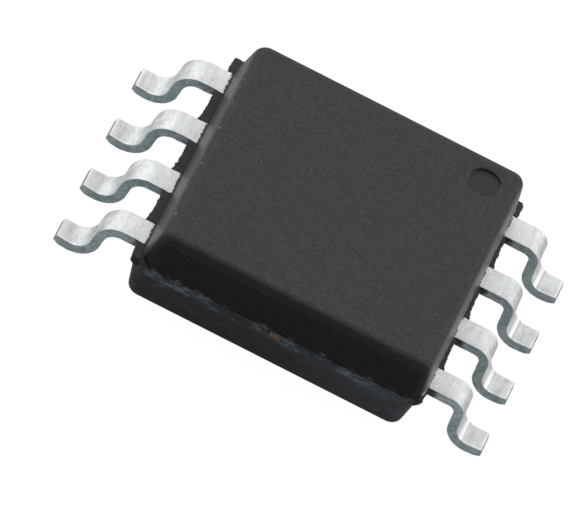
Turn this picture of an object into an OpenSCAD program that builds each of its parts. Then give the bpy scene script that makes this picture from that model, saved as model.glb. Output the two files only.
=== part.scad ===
// Eight-lead small-outline package with a wide, almost square moulded body.
// The model is in its own frame: +X across the two rows of leads, +Y along a row, +Z up.
// The origin is the middle of the seating plane, which the heels of the leads rest on.

/* [Moulded body] */
// Width across the lead rows at the parting line, upper half then lower half
body_w = [5.32, 5.48]; // [5.20:0.01:5.50]
// Length along the lead rows at the parting line, upper half then lower half
body_l = [5.16, 5.20]; // [5.10:0.01:5.34]
// Body thickness
body_h = 1.74; // [1.70:0.01:1.90]
// Gap under the body
standoff = 0.10; // [0.05:0.01:0.25]
// Draft of the walls in degrees, upper half then lower half
draft = [8.5, 9]; // [5:0.5:14]
// Radius of the vertical corners at the parting line, upper half then lower half
corner_r = [0.33, 0.38]; // [0.30:0.01:0.60]
// Radius of the top edge, then of the bottom edge
edge_r = [0.20, 0.08]; // [0.04:0.01:0.22]
// Sideways offset of the lead frame's middle from the middle of the lead tips
frame_offset = 0.04; // [0:0.01:0.10]
// Shift of the upper mould half against the lead frame, across the rows then along them
upper_shift = [0.07, 0]; // [-0.10:0.01:0.10]
// Shift of the lower mould half against the lead frame, across the rows then along them
lower_shift = [-0.05, 0]; // [-0.10:0.01:0.10]

/* [Index dimple] */
// Diameter of the dimple
dimple_d = 0.66; // [0.50:0.01:0.80]
// Depth of the dimple
dimple_depth = 0.06; // [0.03:0.01:0.10]
// Distance of the dimple's middle from the planes of the two nearest walls, at the top
dimple_inset = 0.63; // [0.55:0.01:0.80]

/* [Leads] */
// Leads in each row
leads_per_row = 4; // [4]
// Distance from lead to lead
pitch = 1.27; // [1.27]
// Distance between the lead tips of the two rows
tip_span = 8.13; // [8.00:0.01:8.26]
// Distance from a lead's middle line to its near edge
lead_near = 0.25; // [0.20:0.01:0.26]
// Distance from a lead's middle line to its far edge: at the shoulder, at the heel and at the tip
lead_far = [0.26, 0.23, 0.20]; // [0.16:0.01:0.28]
// Thickness of the lead frame
frame_t = 0.19; // [0.15:0.01:0.22]
// Height of the lead frame's top face, which is the parting plane
frame_top = 1.07; // [1.00:0.01:1.15]
// Distance from the middle to the end of the shoulder bend, right row then left row
riser_reach = [3.41, 3.37]; // [3.34:0.01:3.46]
// Inside radius of the shoulder bend, right row then left row
shoulder_r = [0.12, 0.26]; // [0.10:0.01:0.30]
// Lean of the riser from upright in degrees, right row then left row
riser_lean = [2, 6]; // [0:1:8]
// Inside radius of the heel bend, right row then left row
heel_r = [0.25, 0.30]; // [0.20:0.01:0.34]
// Rise of the foot towards its tip in degrees, right row then left row
toe_lift = [5, 8]; // [1:1:8]
// Height of the roll-over that shearing leaves under the tip
tip_roll = 0.06; // [0.03:0.01:0.08]

/* [Resin between the leads] */
// Distance of a resin strip's trimmed edge from the middle, right row then left row
strip_reach = [2.81, 2.77]; // [2.76:0.01:2.86]
// Extra reach of a strip where it clings to a lead's far side
strip_cling = 0.05; // [0:0.01:0.08]
// Length of the stub that is left beyond the outer lead of a row
stub_l = 0.36; // [0.30:0.01:0.42]
// Distance of the stubs' trimmed ends from the middle, right row then left row: the far stub
// beyond lead 1, then the near one beyond lead 4
stub_reach = [[2.83, 2.76], [2.73, 2.75]]; // [2.70:0.01:2.86]

/* [Inner lead fingers] */
// Width of the widened finger
finger_w = 0.84; // [0.70:0.01:0.95]
// Distance from the middle of the body to a finger's inner end
finger_reach = 1.80; // [1.75:0.01:1.90]
// Distance from the middle of the body to where the finger starts to widen
neck_reach = 2.34; // [2.30:0.01:2.40]
// Diameter of the half-round notches that lock the resin to a finger
notch_d = 0.14; // [0.08:0.01:0.16]

/* [Die paddle] */
// Paddle width across the lead rows
paddle_w = 3.00; // [2.60:0.05:3.20]
// Paddle length along the lead rows
paddle_l = 3.50; // [3.00:0.05:3.60]
// Height that the paddle sits below the lead frame
downset = 0.15; // [0.10:0.01:0.20]
// Width of the tie bars that hold the paddle
tie_w = 0.26; // [0.20:0.01:0.40]
// Width of a tie bar where it meets the body's face
tie_end_w = 0.20; // [0.10:0.01:0.24]

/* [Silicon die] */
// Die width across the lead rows
die_w = 1.90; // [1.50:0.05:2.20]
// Die length along the lead rows
die_l = 2.30; // [1.80:0.05:2.60]
// Die thickness
die_t = 0.28; // [0.20:0.01:0.30]
// Thickness of the adhesive under the die
attach_t = 0.03; // [0.02:0.01:0.05]
// Width of adhesive that shows round the die
attach_margin = 0.06; // [0.03:0.01:0.10]

/* [Bond wires] */
// Diameter of a bond wire
wire_d = 0.030; // [0.025:0.001:0.040]
// Diameter of the ball at the die end of a wire
ball_d = 0.075; // [0.060:0.001:0.090]
// Height of the ball
ball_h = 0.020; // [0.015:0.001:0.025]
// Height of a wire's loop above the die
loop_h = 0.16; // [0.12:0.01:0.20]
// Distance of a bond pad's middle from the die's edge
pad_margin = 0.12; // [0.10:0.01:0.20]
// Distance of a stitch from the finger's inner end
stitch_margin = 0.25; // [0.15:0.01:0.35]
// Length of the flattened stitch
stitch_l = 0.05; // [0.03:0.01:0.08]

/* [Hidden] */
$fn = 64;

UPPER = 0;
LOWER = 1;
RIGHT = 0;
LEFT = 1;
RESIN = [0.16, 0.16, 0.17];
TIN = [0.80, 0.80, 0.79];
COPPER = [0.80, 0.47, 0.28];
SILVER_EPOXY = [0.62, 0.62, 0.60];
SILICON = [0.34, 0.36, 0.42];
GOLD = [0.90, 0.72, 0.32];

frame_bottom = frame_top - frame_t;
frame_mid = frame_top - frame_t / 2;
body_top = standoff + body_h;
top_inset = (body_top - frame_top) * tan(draft[0]);
edge_steps = [3, 2];
paddle_top = frame_top - downset;
attach_top = paddle_top + attach_t;
die_top = attach_top + die_t;
wire_sides = 6;
wire_steps = 11;
bend_step = 7.5;
neck_h = 0.004;
stitch_squash = 0.35;

// Place of lead i of a row along Y; lead 1 is the one beside the dimple's end of the body.
function lead_y(i) = ((leads_per_row + 1) / 2 - i) * pitch;

// Direction of a row: the right row points to +X and the left row to -X.
function row_sign(row) = row == RIGHT ? 1 : -1;

// Middle of a mould half, across the rows and along them.
function half_middle(half) = [frame_offset, 0] + (half == UPPER ? upper_shift : lower_shift);

// Distance from the tips' middle plane to the lower half's wall at the parting line, on a row's side.
function wall_reach(row) = body_w[LOWER] / 2 + row_sign(row) * half_middle(LOWER).x;

// ---- moulded body ----

// Inset and height of the points along a mould half's wall, from the parting plane: the draft,
// then the rounded edge where the wall turns into the flat outer face.
function wall_points(half) =
    let (
        up = half == UPPER ? 1 : -1,
        r = edge_r[half],
        z_round = (half == UPPER ? body_top : standoff) - up * r,
        inset = abs(z_round - frame_top) * tan(draft[half]) + r / cos(draft[half]))
    concat(
        [[0, frame_top]],
        [for (k = [0 : edge_steps[half]])
            let (a = draft[half] + (90 - draft[half]) * k / edge_steps[half])
            [inset - r * cos(a), z_round + up * r * sin(a)]]);

// The section of a mould half whose wall stands at a half size from the middle.
module half_section(points, half_size) {
    last = len(points) - 1;
    polygon(concat(
        [for (p = points) [half_size - p.x, p.y]],
        [for (k = [last : -1 : 0]) [points[k].x - half_size, points[k].y]]));
}

// One mould half: two crossed extrusions of its section, and a turned solid at each corner.
module mould_half(half) {
    points = wall_points(half);
    z_end = points[len(points) - 1].y;
    r = corner_r[half];
    half_w = body_w[half] / 2;
    half_l = body_l[half] / 2;
    translate(half_middle(half)) {
        rotate([90, 0, 0]) linear_extrude(2 * (half_l - r), center = true) half_section(points, half_w);
        rotate([90, 0, 90]) linear_extrude(2 * (half_w - r), center = true) half_section(points, half_l);
        for (sx = [-1, 1], sy = [-1, 1])
            translate([sx * (half_w - r), sy * (half_l - r)])
                rotate_extrude()
                    polygon(concat([[0, frame_top]], [for (p = points) [r - p.x, p.y]], [[0, z_end]]));
    }
}

// Resin left beside the leads of a row after the dam bar is trimmed, in the lead frame's plane.
module resin_strips(row) {
    root = strip_reach[row] - 0.3;
    steps = 10;
    for (i = [1 : leads_per_row - 1]) {
        low = lead_y(i + 1) + lead_far[0];
        high = lead_y(i) - lead_near;
        polygon(concat(
            [[root, high], [root, low]],
            [for (k = [0 : steps])
                let (share = k / steps)
                [strip_reach[row] + strip_cling * pow(1 - share, 5), low + share * (high - low)]]));
    }
    resin_stub(root, stub_reach[row][0], lead_y(1) + lead_far[0], 1);
    resin_stub(root, stub_reach[row][1], lead_y(leads_per_row) - lead_near, -1);
}

// The stub beyond the outer lead of a row, from the lead's edge along a direction of +1 or -1.
module resin_stub(root, reach, edge, away) {
    chip = 0.03;
    polygon([
        [root, edge], [reach, edge], [reach, edge + away * (stub_l - chip)],
        [reach - chip, edge + away * stub_l], [root, edge + away * stub_l]]);
}

module resin_shape() {
    mould_half(UPPER);
    mould_half(LOWER);
    translate([0, 0, frame_bottom])
        linear_extrude(frame_t) {
            resin_strips(RIGHT);
            mirror([1, 0]) resin_strips(LEFT);
        }
}

// A shallow round dimple at lead 1, with a drafted wall.
module index_dimple() {
    reach = [body_w[UPPER], body_l[UPPER]] / 2 - [1, 1] * (top_inset + dimple_inset);
    wall_draft = 0.5;
    translate(concat(half_middle(UPPER) + reach, body_top - dimple_depth))
        cylinder(h = 2 * dimple_depth, d1 = dimple_d - 2 * dimple_depth * wall_draft,
                 d2 = dimple_d + 2 * dimple_depth * wall_draft);
}

module moulded_body() {
    color(RESIN)
        difference() {
            resin_shape();
            index_dimple();
            paddle_shape();
            attach_shape();
            die_shape();
            for (row = [RIGHT, LEFT], i = [1 : leads_per_row]) {
                lead_shape(row, i);
                wire_shape(row, i);
            }
        }
}

// ---- leads ----

// Side outline of a formed lead from inside the resin to its tip: x outwards, y up.
// A bend's angle is counted from level, so the strip's upward normal is [sin(a), cos(a)].
function lead_outline(row) =
    let (
        turn = 90 - riser_lean[row],
        lift = toe_lift[row],
        shoulder_mid_r = shoulder_r[row] + frame_t / 2,
        heel_mid_r = heel_r[row] + frame_t / 2,
        shoulder = [riser_reach[row] - shoulder_mid_r * sin(turn), frame_mid - shoulder_mid_r],
        riser_start = shoulder + shoulder_mid_r * [sin(turn), cos(turn)],
        heel_y = frame_t / 2 + heel_mid_r,
        riser_l = (riser_start.y + heel_mid_r * cos(turn) - heel_y) / sin(turn),
        heel = [riser_start.x + riser_l * cos(turn) + heel_mid_r * sin(turn), heel_y],
        foot_start = heel + heel_mid_r * [sin(lift), -cos(lift)],
        tip = foot_start + (tip_span / 2 - foot_start.x) / cos(lift) * [cos(lift), sin(lift)],
        along = [cos(lift), sin(lift)],
        up = [-sin(lift), cos(lift)],
        root_x = wall_reach(row) - frame_t)
    concat(
        [[root_x, frame_top]],
        bend(shoulder, shoulder_r[row] + frame_t, 0, turn),
        bend(heel, -heel_r[row], turn, 0),
        bend(heel, -heel_r[row], 0, -lift),
        [tip + up * frame_t / 2,
         tip - up * (frame_t / 2 - tip_roll),
         tip - up * frame_t / 2 - along * 2 * tip_roll],
        bend(heel, -heel_r[row] - frame_t, -lift, 0),
        bend(heel, -heel_r[row] - frame_t, 0, turn),
        bend(shoulder, shoulder_r[row], turn, 0),
        [[root_x, frame_bottom]]);

// Points of a bend from angle a0 to a1 about a centre, without its first point when it turns
// on from an earlier bend at level; a negative radius puts the strip below the centre.
function bend(centre, r, a0, a1) =
    let (steps = ceil(abs(a1 - a0) / bend_step))
    [for (k = [(a0 == 0 && r < 0 ? 1 : 0) : steps])
        let (a = a0 + (a1 - a0) * k / steps)
        centre + r * [sin(a), cos(a)]];

// The part of a lead inside the resin: a notched neck that widens to the finger.
module lead_finger(row) {
    wall = wall_reach(row);
    offset_x = row_sign(row) * frame_offset;
    neck = neck_reach + offset_x;
    end = finger_reach + offset_x;
    flare = finger_w / 2 - lead_near;
    linear_extrude(frame_t)
        difference() {
            polygon([
                [wall, lead_far[0]], [neck, lead_far[0]], [neck - flare, finger_w / 2], [end, finger_w / 2],
                [end, -finger_w / 2], [neck - flare, -finger_w / 2], [neck, -lead_near], [wall, -lead_near]]);
            translate([neck, lead_far[0]]) circle(d = notch_d);
            translate([neck, -lead_near]) circle(d = notch_d);
        }
}

// A lead's outline from above: its near edge is straight and its far edge tapers, in two steps,
// from where the dam bar was trimmed away to the clipped corners of the tip.
module lead_plan(row) {
    root = wall_reach(row) - frame_t;
    heel = riser_reach[row] + heel_r[row] / 2;
    tip = tip_span / 2;
    clip = 0.03;
    polygon([
        [root, lead_far[0]], [riser_reach[row] - frame_t, lead_far[0]], [heel, lead_far[1]],
        [tip - clip, lead_far[2]], [tip + clip, lead_far[2] - 2 * clip],
        [tip + clip, 2 * clip - lead_near], [tip - clip, -lead_near], [root, -lead_near]]);
}

module lead_shape(row, i) {
    translate([0, lead_y(i), 0])
        mirror([row, 0, 0]) {
            intersection() {
                rotate([90, 0, 0]) linear_extrude(pitch, center = true) polygon(lead_outline(row));
                linear_extrude(frame_top) lead_plan(row);
            }
            translate([0, 0, frame_bottom]) lead_finger(row);
        }
}

module lead(row, i) {
    color(TIN) lead_shape(row, i);
}

// ---- die paddle, adhesive and die ----

// One tie bar's side view, from the paddle's edge up to the lead frame's height.
module tie_profile(end_y) {
    foot_y = paddle_l / 2;
    bend_y = foot_y + downset;
    polygon([
        [foot_y - downset, paddle_top - frame_t], [foot_y, paddle_top - frame_t],
        [bend_y, frame_bottom], [end_y, frame_bottom], [end_y, frame_top],
        [bend_y, frame_top], [foot_y, paddle_top], [foot_y - downset, paddle_top]]);
}

// One tie bar's outline from above, which narrows to the body's face.
module tie_outline(end_y) {
    foot_y = paddle_l / 2 - 2 * downset;
    taper_y = paddle_l / 2 + 2 * downset;
    polygon([
        [-tie_w / 2, foot_y], [tie_w / 2, foot_y], [tie_w / 2, taper_y], [tie_end_w / 2, end_y],
        [-tie_end_w / 2, end_y], [-tie_w / 2, taper_y]]);
}

// A tie bar towards +Y, sheared flush with the lower mould half's wall.
module tie_bar(end_y) {
    intersection() {
        rotate([90, 0, 90]) linear_extrude(tie_w, center = true) tie_profile(end_y);
        linear_extrude(body_top) tie_outline(end_y);
    }
}

module paddle_shape() {
    translate([frame_offset, 0, 0]) {
        translate([-paddle_w / 2, -paddle_l / 2, paddle_top - frame_t])
            cube([paddle_w, paddle_l, frame_t]);
        tie_bar(body_l[LOWER] / 2 + lower_shift.y);
        mirror([0, 1, 0]) tie_bar(body_l[LOWER] / 2 - lower_shift.y);
    }
}

module die_paddle() {
    color(COPPER) paddle_shape();
}

module attach_shape() {
    margin = 2 * attach_margin;
    translate([frame_offset - die_w / 2 - attach_margin, -die_l / 2 - attach_margin, paddle_top])
        cube([die_w + margin, die_l + margin, attach_t]);
}

module die_attach() {
    color(SILVER_EPOXY) attach_shape();
}

module die_shape() {
    translate([frame_offset - die_w / 2, -die_l / 2, attach_top]) cube([die_w, die_l, die_t]);
}

module silicon_die() {
    color(SILICON) die_shape();
}

// ---- bond wires ----

function bezier(p, t) =
    pow(1 - t, 3) * p[0] + 3 * pow(1 - t, 2) * t * p[1] + 3 * (1 - t) * t * t * p[2] + pow(t, 3) * p[3];

function bezier_slope(p, t) =
    pow(1 - t, 2) * (p[1] - p[0]) + 2 * (1 - t) * t * (p[2] - p[1]) + t * t * (p[3] - p[2]);

// A ring of points about a wire's path: along and up span the wire's upright plane.
function wire_ring(centre, slope, along, across, half_across, half_up) =
    let (dir = slope / norm(slope), up = cross(dir, across))
    [for (k = [0 : wire_sides - 1])
        let (a = 360 * (k + 0.5) / wire_sides + 90)
        centre + half_across * cos(a) * across + half_up * sin(a) * up];

// A closed skin over equal rings, each joined to the next.
module ring_skin(rings) {
    n = len(rings[0]);
    last = len(rings) - 1;
    points = [for (ring = rings) each ring];
    sides = [for (r = [0 : last - 1], k = [0 : n - 1])
        let (k2 = (k + 1) % n)
        each [[r * n + k, (r + 1) * n + k2, r * n + k2], [r * n + k, (r + 1) * n + k, (r + 1) * n + k2]]];
    caps = [for (k = [1 : n - 2]) each [[0, k, k + 1], [last * n, last * n + k + 1, last * n + k]]];
    polyhedron(points, concat(sides, caps));
}

// A wire with its ball on the die, its loop, and its flattened stitch on the lead's finger.
module wire_shape(row, i) {
    r = wire_d / 2;
    flat = cos(180 / wire_sides);
    pad_x = frame_offset + row_sign(row) * (die_w / 2 - pad_margin);
    pad_y = lead_y(i) * (die_l / 2 - pad_margin) / lead_y(1);
    pad = [pad_x, pad_y, die_top];
    stitch = [frame_offset + row_sign(row) * (finger_reach + stitch_margin), lead_y(i), frame_top];
    run = [stitch.x - pad.x, stitch.y - pad.y, 0];
    along = run / norm(run);
    across = cross([0, 0, 1], along);
    start = pad + [0, 0, ball_h];
    end = stitch + [0, 0, r * flat];
    path = [start, start + [0, 0, 1.3 * loop_h], start + 0.35 * run + [0, 0, 1.25 * loop_h],
            end - 0.25 * run];
    ball = [for (z = [pad, start]) wire_ring(z, [0, 0, 1], along, across, ball_d / 2, ball_d / 2)];
    loop = [for (k = [0 : wire_steps])
        let (t = k / wire_steps)
        wire_ring(bezier(path, t) + [0, 0, k == 0 ? neck_h : 0], bezier_slope(path, t), along, across, r, r)];
    flattened = wire_ring(stitch + stitch_l * along + [0, 0, r * flat * stitch_squash],
                          along, along, across, r * 1.6, r * stitch_squash);
    ring_skin(concat(ball, loop, [flattened]));
}

module bond_wire(row, i) {
    color(GOLD) wire_shape(row, i);
}

moulded_body();
die_paddle();
die_attach();
silicon_die();
lead(RIGHT, 1);  // lead_right_1
lead(RIGHT, 2);  // lead_right_2
lead(RIGHT, 3);  // lead_right_3
lead(RIGHT, 4);  // lead_right_4
lead(LEFT, 1);  // lead_left_1
lead(LEFT, 2);  // lead_left_2
lead(LEFT, 3);  // lead_left_3
lead(LEFT, 4);  // lead_left_4
bond_wire(RIGHT, 1);  // bond_wire_right_1
bond_wire(RIGHT, 2);  // bond_wire_right_2
bond_wire(RIGHT, 3);  // bond_wire_right_3
bond_wire(RIGHT, 4);  // bond_wire_right_4
bond_wire(LEFT, 1);  // bond_wire_left_1
bond_wire(LEFT, 2);  // bond_wire_left_2
bond_wire(LEFT, 3);  // bond_wire_left_3
bond_wire(LEFT, 4);  // bond_wire_left_4
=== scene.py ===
"""Looks of an eight-lead small-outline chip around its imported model.

The moulded body and the eight leads are modelled again with soft edges, torn resin and
sheared tips. The paddle, adhesive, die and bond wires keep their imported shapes.
Lengths in the constants are millimetres; MM turns them into metres.
"""
import math

import bmesh
import bpy
from mathutils import Matrix, Vector, noise


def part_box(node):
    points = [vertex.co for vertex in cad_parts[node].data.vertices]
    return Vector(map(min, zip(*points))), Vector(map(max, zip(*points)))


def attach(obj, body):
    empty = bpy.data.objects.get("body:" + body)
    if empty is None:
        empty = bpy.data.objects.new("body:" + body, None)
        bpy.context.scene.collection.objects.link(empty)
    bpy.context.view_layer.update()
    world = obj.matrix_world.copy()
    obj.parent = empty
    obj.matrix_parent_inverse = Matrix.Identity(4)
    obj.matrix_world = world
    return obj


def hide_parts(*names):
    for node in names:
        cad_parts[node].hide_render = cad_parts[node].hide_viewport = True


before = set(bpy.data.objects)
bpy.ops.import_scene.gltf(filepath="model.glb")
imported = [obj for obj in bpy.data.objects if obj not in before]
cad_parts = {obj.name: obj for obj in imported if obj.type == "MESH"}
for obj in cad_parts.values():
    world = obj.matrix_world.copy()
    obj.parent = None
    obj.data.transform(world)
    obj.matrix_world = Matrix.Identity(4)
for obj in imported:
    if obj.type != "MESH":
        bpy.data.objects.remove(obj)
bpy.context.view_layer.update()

MM = 0.001
ROWS = {"right": 1, "left": -1}
LEADS_PER_ROW = 4

# ---- sizes ----

# The two mould halves meet at the lead frame's top, a little out of register.
# The upper half's left wall leans a little more than its right wall, by the spread at the rim.
HALVES = {
    "upper": {"width": 5.32, "length": 5.16, "corner": 0.33, "draft": math.radians(8.5), "edge": 0.20,
              "middle": Vector((0.11, 0.0)), "spread": (0.05, -0.02)},
    "lower": {"width": 5.48, "length": 5.20, "corner": 0.38, "draft": math.radians(9), "edge": 0.08,
              "middle": Vector((-0.01, 0.0)), "spread": (0.0, 0.0)}}
DIMPLE_D = 0.61
DIMPLE_DEPTH = 0.048
DIMPLE_INSET = 0.605

# The lead frame. A lead's far edge tapers from the shoulder to the tip. The tips stop short of
# their full reach by the trim, which leaves room for the roughness of the cut.
FRAME_T = 0.19
FRAME_X = 0.04
LEAD_NEAR = 0.25
LEAD_FAR = 0.26
LEAD_TAPER = 0.06
PITCH = 1.27
TIP_REACH = 8.13 / 2
TIP_TRIM = 0.010
LEAD_EDGE_R = 0.018
TIP_ROLL = 0.06
RISER_REACH = {"right": 3.41, "left": 3.37}
SHOULDER_R = {"right": 0.12, "left": 0.26}
RISER_LEAN = {"right": 2, "left": 6}
HEEL_R = {"right": 0.25, "left": 0.30}
TOE_LIFT = {"right": 5, "left": 8}
FINGER_W = 0.84
FINGER_REACH = 1.80
NECK_REACH = 2.34

# Resin left beside the leads: reach from the middle, and the stubs' far and near ends. The root
# is how deep the resin is set into the wall.
STRIP_REACH = {"right": 2.81, "left": 2.77}
STRIP_CLING = 0.05
STUB_L = 0.36
STUB_TRIM = 0.004
RESIN_ROOT = 0.16
STRIP_STEPS = 56
STUB_STEPS = 26
STUB_REACH = {"right": {1: 2.83, -1: 2.76}, "left": {1: 2.73, -1: 2.75}}

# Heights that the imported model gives.
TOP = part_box("moulded_body")[1].z / MM
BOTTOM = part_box("moulded_body")[0].z / MM
FRAME_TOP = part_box("lead_right_1")[1].z / MM


# ---- small helpers ----

def add_node(tree, kind, inputs=None, **settings):
    """Adds a node. An input is a plain value, or a socket to link from."""
    made = tree.nodes.new(kind)
    for name, value in settings.items():
        setattr(made, name, value)
    for key, value in (inputs or {}).items():
        if isinstance(value, bpy.types.NodeSocket):
            tree.links.new(value, made.inputs[key])
        else:
            made.inputs[key].default_value = value
    return made


def add_math(tree, operation, first, second=0.0, clamp=False):
    """A Math node's output, for a shader or a geometry tree."""
    made = add_node(tree, "ShaderNodeMath", {0: first, 1: second}, operation=operation, use_clamp=clamp)
    return made.outputs[0]


def add_ramp(tree, value, low, high, to_low=0.0, to_high=1.0):
    """A smooth step of a value from one level to another."""
    made = add_node(tree, "ShaderNodeMapRange", {
        "Value": value, "From Min": low, "From Max": high, "To Min": to_low, "To Max": to_high},
        interpolation_type="SMOOTHSTEP")
    return made.outputs["Result"]


def new_object(name, mesh):
    """An object in the scene, at the origin."""
    made = bpy.data.objects.new(name, mesh)
    bpy.context.scene.collection.objects.link(made)
    return made


def smooth(mesh, angle=40):
    """Smooth shading with creases where faces meet at more than the angle."""
    mesh.polygons.foreach_set("use_smooth", [True] * len(mesh.polygons))
    mesh.set_sharp_from_angle(angle=math.radians(angle))


def wander(point, size, amount, seed=0.0):
    """A smooth random offset at a place, for torn and moulded edges."""
    return amount * noise.noise(Vector(point) / size + Vector((seed, 3.7 * seed, -seed)))


def lead_y(number):
    """Place of a numbered lead along its row."""
    return ((LEADS_PER_ROW + 1) / 2 - number) * PITCH


def wall_reach(row):
    """Distance of the lower half's wall from the middle, on a row's side."""
    return HALVES["lower"]["width"] / 2 + ROWS[row] * HALVES["lower"]["middle"].x


# ---- shader groups ----

def new_group(name, inputs, outputs):
    """A shader node group with named value inputs and outputs; returns it with its two ends."""
    group = bpy.data.node_groups.new(name, "ShaderNodeTree")
    for label, default in inputs.items():
        made = group.interface.new_socket(label, in_out="INPUT", socket_type="NodeSocketFloat")
        made.default_value = default
    for label, kind in outputs.items():
        group.interface.new_socket(label, in_out="OUTPUT", socket_type=kind)
    return group, add_node(group, "NodeGroupInput"), add_node(group, "NodeGroupOutput")


def build_grain_group():
    """Fine random grain on Object coordinates: a height, a slow mottle and rare specks."""
    group, given, result = new_group(
        "surface_grain",
        {"Grain per mm": 30.0, "Mottle per mm": 2.0, "Speck per mm": 8.0, "Speck size": 0.1},
        {"Height": "NodeSocketFloat", "Mottle": "NodeSocketFloat", "Specks": "NodeSocketFloat"})
    place = add_node(group, "ShaderNodeTexCoord").outputs["Object"]
    per_metre = {label: add_math(group, "MULTIPLY", given.outputs[label], 1 / MM)
                 for label in ("Grain per mm", "Mottle per mm", "Speck per mm")}
    grain = add_node(group, "ShaderNodeTexNoise", {
        "Vector": place, "Scale": per_metre["Grain per mm"], "Detail": 3.0, "Roughness": 0.65})
    mottle = add_node(group, "ShaderNodeTexNoise", {
        "Vector": place, "Scale": per_metre["Mottle per mm"], "Detail": 4.0, "Roughness": 0.55})
    cells = add_node(group, "ShaderNodeTexVoronoi", {
        "Vector": place, "Scale": per_metre["Speck per mm"]})
    pick = add_node(group, "ShaderNodeSeparateColor", {"Color": cells.outputs["Color"]})
    chosen = add_math(group, "GREATER_THAN", pick.outputs["Red"], 0.86)
    near = add_math(group, "LESS_THAN", cells.outputs["Distance"], given.outputs["Speck size"])
    specks = add_math(group, "MULTIPLY", chosen, near)
    group.links.new(grain.outputs["Fac"], result.inputs["Height"])
    group.links.new(mottle.outputs["Fac"], result.inputs["Mottle"])
    group.links.new(specks, result.inputs["Specks"])
    return group


GRAIN = build_grain_group()


# ---- materials ----

# Zones of wear and of painted shade on the body, as (start, end) in millimetres. Depths are below
# the parting line, and the other values are reaches from the middle, negative to the left.
CRUMB_BAND = (0.03, 0.20)
STREAK_BAND = (0.16, 0.30)
STREAK_SHARE = 0.40
SCUFFS_FADE = (2.50, 2.30)
PALER_LOWER_STARTS = (0.0, 1.8)
STRIP_SHADE_STARTS = (2.62, 2.66)
SCRATCH_BAND = (-2.52, -2.40)

# Zones on the leads, as reaches from the middle. The stain's is a distance from the bleed's edge.
FOOT_STARTS = (3.58, 3.72)
HEEL_HIGHLIGHT = (3.60, 3.64)
HEEL_STAIN = (3.67, 3.69)
TIP_LINE = (4.035, 4.050)
BLEED_EDGE = {"left": 2.635, "right": 2.755}
STAIN_FADES = (0.22, 0.12)


def new_material(name):
    """An empty material with a Principled shader; returns the material, its tree and the shader."""
    material = bpy.data.materials.new(name)
    material.use_nodes = True
    tree = material.node_tree
    return material, tree, tree.nodes["Principled BSDF"]


def add_group(tree, group, values):
    """Places a shader group with its own values."""
    return add_node(tree, "ShaderNodeGroup", values, node_tree=group)


def mix_colour(tree, share, first, second):
    """A colour between two: each is a plain colour or a socket."""
    made = add_node(tree, "ShaderNodeMix", {"Factor": share}, data_type="RGBA")
    for socket, colour in ((made.inputs[6], first), (made.inputs[7], second)):
        if isinstance(colour, bpy.types.NodeSocket):
            tree.links.new(colour, socket)
        else:
            socket.default_value = (*colour, 1.0)
    return made.outputs[2]


def bump(tree, height, strength, distance_mm):
    """The normal of a bumpy surface, from a height map."""
    made = add_node(tree, "ShaderNodeBump", {
        "Height": height, "Strength": strength, "Distance": distance_mm * MM})
    return made.outputs["Normal"]


def facing(tree, axis):
    """The surface's true normal along an axis of the object, from -1 to 1."""
    geometry = add_node(tree, "ShaderNodeNewGeometry")
    return add_node(tree, "ShaderNodeSeparateXYZ", {"Vector": geometry.outputs["Normal"]}).outputs[axis]


def place_mm(tree, axis):
    """A coordinate of the shaded point along an axis of the object, in millimetres."""
    place = add_node(tree, "ShaderNodeTexCoord").outputs["Object"]
    along = add_node(tree, "ShaderNodeSeparateXYZ", {"Vector": place}).outputs[axis]
    return add_math(tree, "MULTIPLY", along, 1 / MM)


def stretched_noise(tree, per_mm, stretch, detail=3.0, roughness=0.6):
    """Noise on Object coordinates, drawn out by a different share along each axis."""
    place = add_node(tree, "ShaderNodeTexCoord").outputs["Object"]
    drawn = add_node(tree, "ShaderNodeMapping", {"Vector": place, "Scale": stretch})
    made = add_node(tree, "ShaderNodeTexNoise", {
        "Vector": drawn.outputs["Vector"], "Scale": per_mm / MM,
        "Detail": detail, "Roughness": roughness})
    return made.outputs["Fac"]


def add_band(tree, value, start, end, soft):
    """1 between two levels of a value, with soft ends."""
    rise = add_ramp(tree, value, start - soft, start)
    fall = add_ramp(tree, value, end + soft, end)
    return add_math(tree, "MULTIPLY", rise, fall)


def along_y(tree, low, high):
    """A ramp on how squarely a surface faces along the rows, towards the near or the far side."""
    return add_ramp(tree, add_math(tree, "ABSOLUTE", facing(tree, "Y")), low, high)


def make_scuffs(tree, high, reach, front):
    """Pale scuffs below the parting line of the near and far walls: crumbly patches and streaks."""
    patch = add_ramp(tree, stretched_noise(tree, 1.3, (1.0, 1.0, 1.8), 4.0, 0.65), 0.42, 0.56)
    crumbs = add_ramp(tree, stretched_noise(tree, 4.5, (1.0, 1.0, 1.4), 4.0, 0.65), 0.40, 0.60)
    waves = add_ramp(tree, stretched_noise(tree, 4.0, (1.0, 0.2, 0.2)), 0.3, 0.7, -0.05, 0.05)
    below_rim = add_math(tree, "SUBTRACT", FRAME_TOP, add_math(tree, "ADD", high, waves))
    crumbly = add_math(tree, "MULTIPLY", patch, crumbs)
    crumbly = add_math(tree, "MULTIPLY", crumbly, add_band(tree, below_rim, *CRUMB_BAND, 0.06))
    streaks = add_ramp(tree, stretched_noise(tree, 3.0, (1.0, 1.0, 7.0), 4.0, 0.6), 0.52, 0.64)
    streaks = add_math(tree, "MULTIPLY", streaks, add_band(tree, below_rim, *STREAK_BAND, 0.05))
    both = add_math(tree, "MAXIMUM", crumbly, add_math(tree, "MULTIPLY", streaks, STREAK_SHARE))
    inside = add_ramp(tree, add_math(tree, "ABSOLUTE", reach), *SCUFFS_FADE)
    return add_math(tree, "MULTIPLY", add_math(tree, "MULTIPLY", both, inside), front)


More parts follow.
